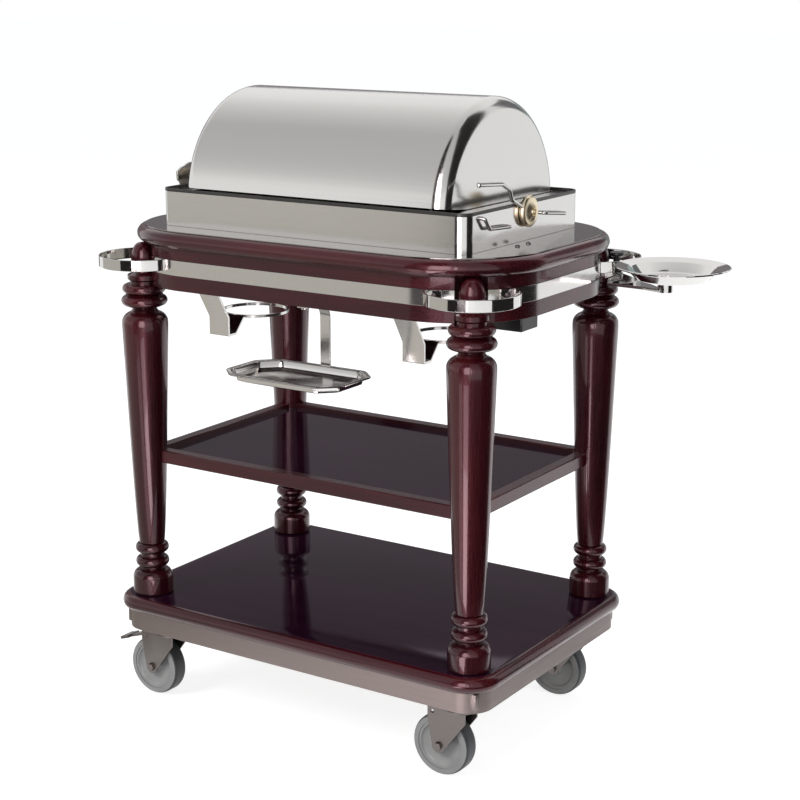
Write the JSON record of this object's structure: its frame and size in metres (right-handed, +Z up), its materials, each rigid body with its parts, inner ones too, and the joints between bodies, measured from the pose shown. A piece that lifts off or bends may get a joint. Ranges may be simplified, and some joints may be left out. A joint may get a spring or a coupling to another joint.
{
  "type": "carving trolley",
  "caption": "Serving trolley with turned wooden legs, shelves, a stainless tub under a roll-top lid, a plate holder, a hanging tray and swivel casters.",
  "frame": {"origin": "middle of the whole trolley's box, on the floor", "axes": "+Z up; +X towards the end with the plate holder; -Y towards the carver, the side the lid opens from"},
  "size_m": [1.07, 0.628, 1.1379],
  "materials": {
    "wood_dark": "high-gloss lacquer",
    "polished_steel": "polished",
    "satin_steel": "satin",
    "brass": "polished",
    "board": "matt",
    "wheel_grey": "satin",
    "tyre_grey": "matt",
    "dark_paint": "satin",
    "black_rubber": "matt"
  },
  "bodies": {
    "trolley": {"deck": "wood_dark", "leg_front_left": "wood_dark", "leg_front_right": "wood_dark", "leg_rear_left": "wood_dark", "leg_rear_right": "wood_dark", "shelf_frame": "wood_dark", "shelf_panel": "wood_dark", "apron": "wood_dark", "top_board": "wood_dark", "steel_band": "polished_steel", "steel_top": "polished_steel", "guard_front_left": "polished_steel", "guard_front_right": "polished_steel", "guard_rear_left": "polished_steel", "guard_rear_right": "polished_steel", "tub": "polished_steel", "skirt": "satin_steel", "guard_screws": "satin_steel", "well": "satin_steel", "tub_grips": "satin_steel", "top_screws": "satin_steel", "hanger_left": "satin_steel", "hanger_right": "satin_steel", "pan_carrier": "satin_steel", "food_pan": "satin_steel", "sauce_pans": "satin_steel", "sauce_lids": "satin_steel", "tray_strap": "satin_steel", "plate_bracket": "satin_steel", "plate_post": "satin_steel", "caster_plates": "satin_steel", "carving_board": "board", "rim_seal": "black_rubber", "underside_block": "dark_paint"},
    "lid": {"lid_shell": "polished_steel", "lid_crank_left": "satin_steel", "lid_crank_right": "satin_steel", "lid_bosses": "brass"},
    "tray": {"tray": "polished_steel"},
    "plate_arm": {"plate_arm": "satin_steel"},
    "plate_dish": {"plate_dish": "polished_steel"},
    "fork_front_left": {"fork_front_left": "satin_steel", "axle_front_left": "satin_steel"},
    "wheel_front_left": {"wheel_front_left": "wheel_grey", "tyre_front_left": "tyre_grey"},
    "fork_front_right": {"fork_front_right": "satin_steel", "axle_front_right": "satin_steel"},
    "wheel_front_right": {"wheel_front_right": "wheel_grey", "tyre_front_right": "tyre_grey"},
    "fork_rear_left": {"fork_rear_left": "satin_steel", "axle_rear_left": "satin_steel"},
    "wheel_rear_left": {"wheel_rear_left": "wheel_grey", "tyre_rear_left": "tyre_grey"},
    "fork_rear_right": {"fork_rear_right": "satin_steel", "axle_rear_right": "satin_steel"},
    "wheel_rear_right": {"wheel_rear_right": "wheel_grey", "tyre_rear_right": "tyre_grey"},
    "brake_front_left": {"brake_front_left": "dark_paint"},
    "brake_rear_left": {"brake_rear_left": "dark_paint"}
  },
  "joints": [
    {"name": "lid_roll", "type": "hinge", "parent": "trolley", "child": "lid", "pos_m": [-0.10364, 0.017, 0.948], "axis": [-1, 0, 0], "range_deg": [0, 110]},
    {"name": "tray_lift", "type": "slide", "parent": "trolley", "child": "tray", "axis": [0, 0, 1], "range_m": [0, 0.08]},
    {"name": "arm_swing", "type": "hinge", "parent": "trolley", "child": "plate_arm", "pos_m": [0.28036, 0.235, 0.811], "axis": [0, 0, 1], "range_deg": [-8, 110]},
    {"name": "dish_lift", "type": "slide", "parent": "plate_arm", "child": "plate_dish", "axis": [0, 0, 1], "range_m": [0, 0.08]},
    {"name": "swivel_front_left", "type": "hinge", "parent": "trolley", "child": "fork_front_left", "pos_m": [-0.42364, -0.187, 0.125], "axis": [0, 0, 1], "continuous": true},
    {"name": "roll_front_left", "type": "hinge", "parent": "fork_front_left", "child": "wheel_front_left", "pos_m": [-0.45364, -0.187, 0.055], "axis": [0, 1, 0], "continuous": true},
    {"name": "swivel_front_right", "type": "hinge", "parent": "trolley", "child": "fork_front_right", "pos_m": [0.21636, -0.187, 0.125], "axis": [0, 0, 1], "continuous": true},
    {"name": "roll_front_right", "type": "hinge", "parent": "fork_front_right", "child": "wheel_front_right", "pos_m": [0.18636, -0.187, 0.055], "axis": [0, 1, 0], "continuous": true},
    {"name": "swivel_rear_left", "type": "hinge", "parent": "trolley", "child": "fork_rear_left", "pos_m": [-0.42364, 0.221, 0.125], "axis": [0, 0, 1], "continuous": true},
    {"name": "roll_rear_left", "type": "hinge", "parent": "fork_rear_left", "child": "wheel_rear_left", "pos_m": [-0.45364, 0.221, 0.055], "axis": [0, 1, 0], "continuous": true},
    {"name": "swivel_rear_right", "type": "hinge", "parent": "trolley", "child": "fork_rear_right", "pos_m": [0.21636, 0.221, 0.125], "axis": [0, 0, 1], "continuous": true},
    {"name": "roll_rear_right", "type": "hinge", "parent": "fork_rear_right", "child": "wheel_rear_right", "pos_m": [0.18636, 0.221, 0.055], "axis": [0, 1, 0], "continuous": true},
    {"name": "brake_front_left_press", "type": "hinge", "parent": "fork_front_left", "child": "brake_front_left", "pos_m": [-0.46564, -0.187, 0.116], "axis": [0, -1, 0], "range_deg": [0, 7]},
    {"name": "brake_rear_left_press", "type": "hinge", "parent": "fork_rear_left", "child": "brake_rear_left", "pos_m": [-0.46564, 0.221, 0.116], "axis": [0, -1, 0], "range_deg": [0, 7]}
  ]
}
